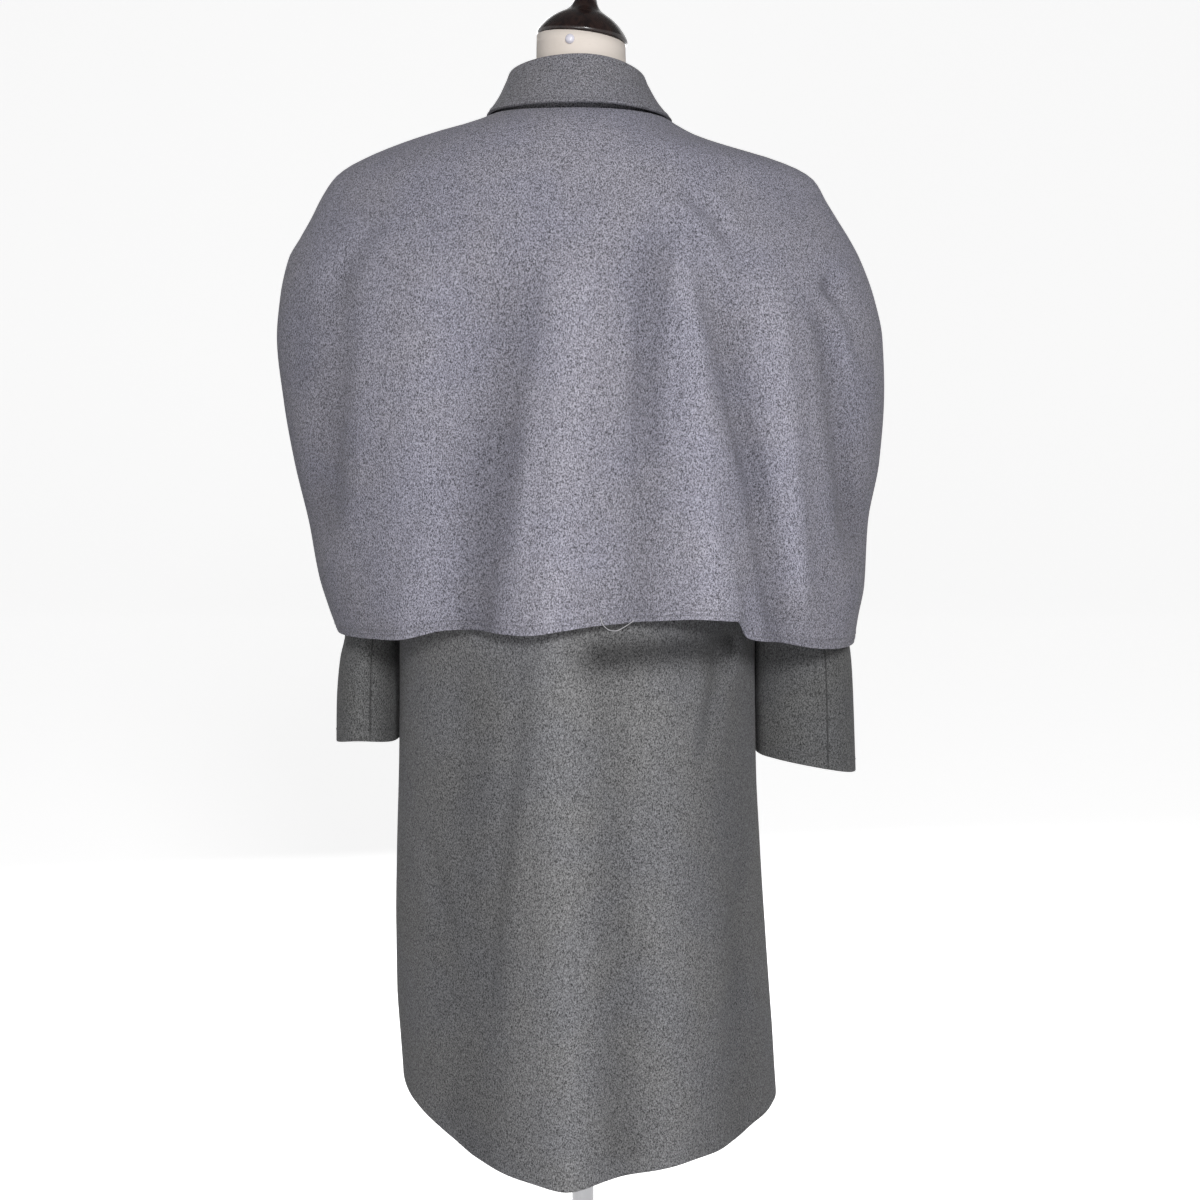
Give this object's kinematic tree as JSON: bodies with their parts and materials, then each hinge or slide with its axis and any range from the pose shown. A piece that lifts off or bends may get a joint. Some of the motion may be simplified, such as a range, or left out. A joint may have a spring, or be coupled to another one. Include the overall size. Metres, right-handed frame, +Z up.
{
  "type": "wool cape coat on a dress form",
  "caption": "Knee-length wool coat with a hip-length shoulder cape, turn-down collar and set-in sleeves, worn by a limbless dress form on a round stand.",
  "frame": {"origin": "centre of the stand's round foot, on the floor", "axes": "+X towards the wearer's left, -Y towards the front of the coat, +Z up"},
  "size_m": [0.6559, 0.4287, 1.6578],
  "materials": {
    "cape_back": "heather melton wool",
    "cape_front_left": "heather melton wool",
    "cape_front_right": "heather melton wool",
    "coat_back": "heather melton wool",
    "coat_front_left": "heather melton wool",
    "coat_front_right": "heather melton wool",
    "collar_leaf": "heather melton wool",
    "collar_stand": "heather melton wool",
    "sleeve_top_left": "heather melton wool",
    "sleeve_under_left": "heather melton wool",
    "sleeve_top_right": "heather melton wool",
    "sleeve_under_right": "heather melton wool",
    "button_1": "polished horn",
    "button_2": "polished horn",
    "button_3": "polished horn",
    "button_4": "polished horn",
    "button_5": "polished horn",
    "form_torso": "cream linen over a shaped body",
    "form_neck_cap": "dark stained and polished",
    "form_neck_stud": "white enamel",
    "form_pole": "satin steel",
    "form_base": "black lacquer"
  },
  "bodies": {
    "root": {"cape_back": "cape_back", "cape_front_left": "cape_front_left", "cape_front_right": "cape_front_right", "coat_back": "coat_back", "coat_front_left": "coat_front_left", "coat_front_right": "coat_front_right", "collar_leaf": "collar_leaf", "collar_stand": "collar_stand", "sleeve_top_left": "sleeve_top_left", "sleeve_under_left": "sleeve_under_left", "sleeve_top_right": "sleeve_top_right", "sleeve_under_right": "sleeve_under_right", "button_1": "button_1", "button_2": "button_2", "button_3": "button_3", "button_4": "button_4", "button_5": "button_5", "form_torso": "form_torso", "form_neck_cap": "form_neck_cap", "form_neck_stud": "form_neck_stud", "form_pole": "form_pole", "form_base": "form_base"}
  },
  "joints": []
}
